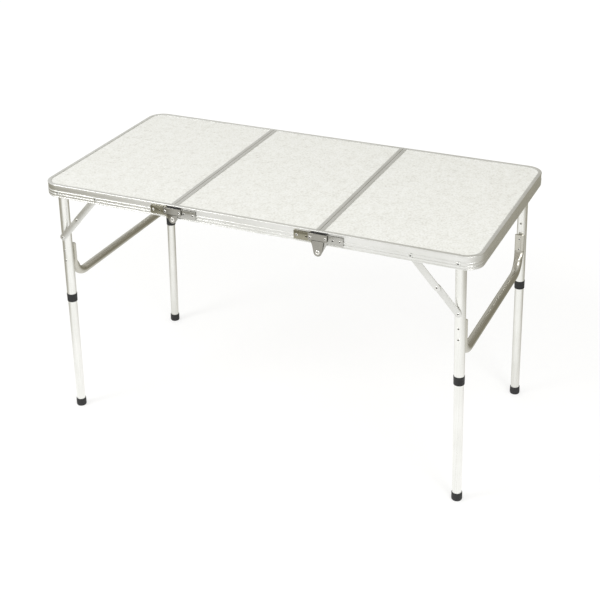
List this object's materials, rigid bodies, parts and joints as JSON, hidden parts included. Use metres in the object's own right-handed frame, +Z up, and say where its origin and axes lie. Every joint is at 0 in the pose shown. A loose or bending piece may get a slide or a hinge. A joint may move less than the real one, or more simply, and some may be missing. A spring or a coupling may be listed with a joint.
{
  "type": "folding picnic table",
  "caption": "Aluminium folding picnic table with hinged panels that fold under each other, folding leg frames with U-shaped cross bars and stays, and telescopic legs with twist collars.",
  "frame": {"origin": "on the floor, under the middle of the table top", "axes": "+X along the table from the left panel to the right panel, +Y from the front edge to the rear edge, +Z up"},
  "size_m": [1.2, 0.6162, 0.7],
  "materials": {
    "laminate_board": "thin fibreboard with a faintly mottled off-white laminate, soft gloss",
    "rail_aluminium": "satin anodised extrusion with fine grooves along it",
    "tube_aluminium": "satin drawn tube, slightly warm",
    "plated_steel": "bright plated pressings and rivets",
    "stay_steel": "light silver-grey coated flat bar",
    "black_plastic": "moulded black plastic, soft sheen",
    "black_rubber": "moulded black rubber-like plastic, matt"
  },
  "bodies": {
    "middle_panel": {"middle_board": "laminate_board", "middle_front_rail": "rail_aluminium", "middle_rear_rail": "rail_aluminium", "middle_left_seam_rail": "rail_aluminium", "middle_right_seam_rail": "rail_aluminium", "left_front_middle_leaf": "plated_steel", "left_rear_middle_leaf": "plated_steel", "right_front_middle_leaf": "plated_steel", "right_rear_middle_leaf": "plated_steel"},
    "left_hinge_links": {"left_front_hinge_link": "plated_steel", "left_rear_hinge_link": "plated_steel"},
    "left_panel": {"left_board": "laminate_board", "left_end_rim": "rail_aluminium", "left_panel_seam_rail": "rail_aluminium", "left_front_outer_leaf": "plated_steel", "left_front_leg_rivet": "plated_steel", "left_rear_outer_leaf": "plated_steel", "left_rear_leg_rivet": "plated_steel"},
    "left_leg_frame": {"left_cross_bar": "tube_aluminium", "left_front_upper_leg": "tube_aluminium", "left_front_leg_collet": "black_plastic", "left_rear_upper_leg": "tube_aluminium", "left_rear_leg_collet": "black_plastic"},
    "left_upper_stays": {"left_front_upper_stay": "stay_steel", "left_rear_upper_stay": "stay_steel"},
    "left_lower_stays": {"left_front_lower_stay": "stay_steel", "left_rear_lower_stay": "stay_steel"},
    "left_front_collar": {"left_front_leg_collar": "black_plastic"},
    "left_front_extension": {"left_front_lower_leg": "tube_aluminium", "left_front_foot": "black_rubber"},
    "left_rear_collar": {"left_rear_leg_collar": "black_plastic"},
    "left_rear_extension": {"left_rear_lower_leg": "tube_aluminium", "left_rear_foot": "black_rubber"},
    "right_hinge_links": {"right_front_hinge_link": "plated_steel", "right_rear_hinge_link": "plated_steel"},
    "right_panel": {"right_board": "laminate_board", "right_end_rim": "rail_aluminium", "right_panel_seam_rail": "rail_aluminium", "right_front_outer_leaf": "plated_steel", "right_front_leg_rivet": "plated_steel", "right_rear_outer_leaf": "plated_steel", "right_rear_leg_rivet": "plated_steel"},
    "right_leg_frame": {"right_cross_bar": "tube_aluminium", "right_front_upper_leg": "tube_aluminium", "right_front_leg_collet": "black_plastic", "right_rear_upper_leg": "tube_aluminium", "right_rear_leg_collet": "black_plastic"},
    "right_upper_stays": {"right_front_upper_stay": "stay_steel", "right_rear_upper_stay": "stay_steel"},
    "right_lower_stays": {"right_front_lower_stay": "stay_steel", "right_rear_lower_stay": "stay_steel"},
    "right_front_collar": {"right_front_leg_collar": "black_plastic"},
    "right_front_extension": {"right_front_lower_leg": "tube_aluminium", "right_front_foot": "black_rubber"},
    "right_rear_collar": {"right_rear_leg_collar": "black_plastic"},
    "right_rear_extension": {"right_rear_lower_leg": "tube_aluminium", "right_rear_foot": "black_rubber"}
  },
  "joints": [
    {"name": "left_link_fold", "type": "hinge", "parent": "middle_panel", "child": "left_hinge_links", "pos_m": [-0.2, 0, 0.6645], "axis": [0, -1, 0], "range_deg": [0, 90]},
    {"name": "left_panel_fold", "type": "hinge", "parent": "left_hinge_links", "child": "left_panel", "pos_m": [-0.2, 0, 0.6645], "axis": [0, -1, 0], "range_deg": [0, 90]},
    {"name": "left_leg_fold", "type": "hinge", "parent": "left_panel", "child": "left_leg_frame", "pos_m": [-0.55, 0, 0.679], "axis": [0, -1, 0], "range_deg": [0, 91.75]},
    {"name": "left_stay_fold", "type": "hinge", "parent": "left_panel", "child": "left_upper_stays", "pos_m": [-0.434, 0, 0.679], "axis": [0, -1, 0], "range_deg": [0, 131.9]},
    {"name": "left_stay_knee", "type": "hinge", "parent": "left_upper_stays", "child": "left_lower_stays", "pos_m": [-0.50005, 0, 0.60533], "axis": [0, 1, 0], "range_deg": [0, 180.02]},
    {"name": "left_front_collar_twist", "type": "hinge", "parent": "left_leg_frame", "child": "left_front_collar", "pos_m": [-0.55977, -0.275, 0.35915], "axis": [0.0305, 0, 0.9995], "range_deg": [0, 90]},
    {"name": "left_front_leg_slide", "type": "slide", "parent": "left_leg_frame", "child": "left_front_extension", "axis": [0.0305, 0, 0.9995], "range_m": [0, 0.3]},
    {"name": "left_rear_collar_twist", "type": "hinge", "parent": "left_leg_frame", "child": "left_rear_collar", "pos_m": [-0.55977, 0.275, 0.35915], "axis": [0.0305, 0, 0.9995], "range_deg": [0, 90]},
    {"name": "left_rear_leg_slide", "type": "slide", "parent": "left_leg_frame", "child": "left_rear_extension", "axis": [0.0305, 0, 0.9995], "range_m": [0, 0.3]},
    {"name": "right_link_fold", "type": "hinge", "parent": "middle_panel", "child": "right_hinge_links", "pos_m": [0.2, 0, 0.6465], "axis": [0, 1, 0], "range_deg": [0, 90]},
    {"name": "right_panel_fold", "type": "hinge", "parent": "right_hinge_links", "child": "right_panel", "pos_m": [0.2, 0, 0.6465], "axis": [0, 1, 0], "range_deg": [0, 90]},
    {"name": "right_leg_fold", "type": "hinge", "parent": "right_panel", "child": "right_leg_frame", "pos_m": [0.55, 0, 0.679], "axis": [0, 1, 0], "range_deg": [0, 91.75]},
    {"name": "right_stay_fold", "type": "hinge", "parent": "right_panel", "child": "right_upper_stays", "pos_m": [0.434, 0, 0.679], "axis": [0, 1, 0], "range_deg": [0, 131.9]},
    {"name": "right_stay_knee", "type": "hinge", "parent": "right_upper_stays", "child": "right_lower_stays", "pos_m": [0.50005, 0, 0.60533], "axis": [0, -1, 0], "range_deg": [0, 180.02]},
    {"name": "right_front_collar_twist", "type": "hinge", "parent": "right_leg_frame", "child": "right_front_collar", "pos_m": [0.55977, -0.275, 0.35915], "axis": [-0.0305, 0, 0.9995], "range_deg": [0, 90]},
    {"name": "right_front_leg_slide", "type": "slide", "parent": "right_leg_frame", "child": "right_front_extension", "axis": [-0.0305, 0, 0.9995], "range_m": [0, 0.3]},
    {"name": "right_rear_collar_twist", "type": "hinge", "parent": "right_leg_frame", "child": "right_rear_collar", "pos_m": [0.55977, 0.275, 0.35915], "axis": [-0.0305, 0, 0.9995], "range_deg": [0, 90]},
    {"name": "right_rear_leg_slide", "type": "slide", "parent": "right_leg_frame", "child": "right_rear_extension", "axis": [-0.0305, 0, 0.9995], "range_m": [0, 0.3]}
  ],
  "couplings": [
    {"joint": "left_stay_fold", "follows": "left_leg_fold", "ratio": 1.4374},
    {"joint": "left_stay_knee", "follows": "left_leg_fold", "ratio": 1.9619},
    {"joint": "right_stay_fold", "follows": "right_leg_fold", "ratio": 1.4374},
    {"joint": "right_stay_knee", "follows": "right_leg_fold", "ratio": 1.9619}
  ]
}
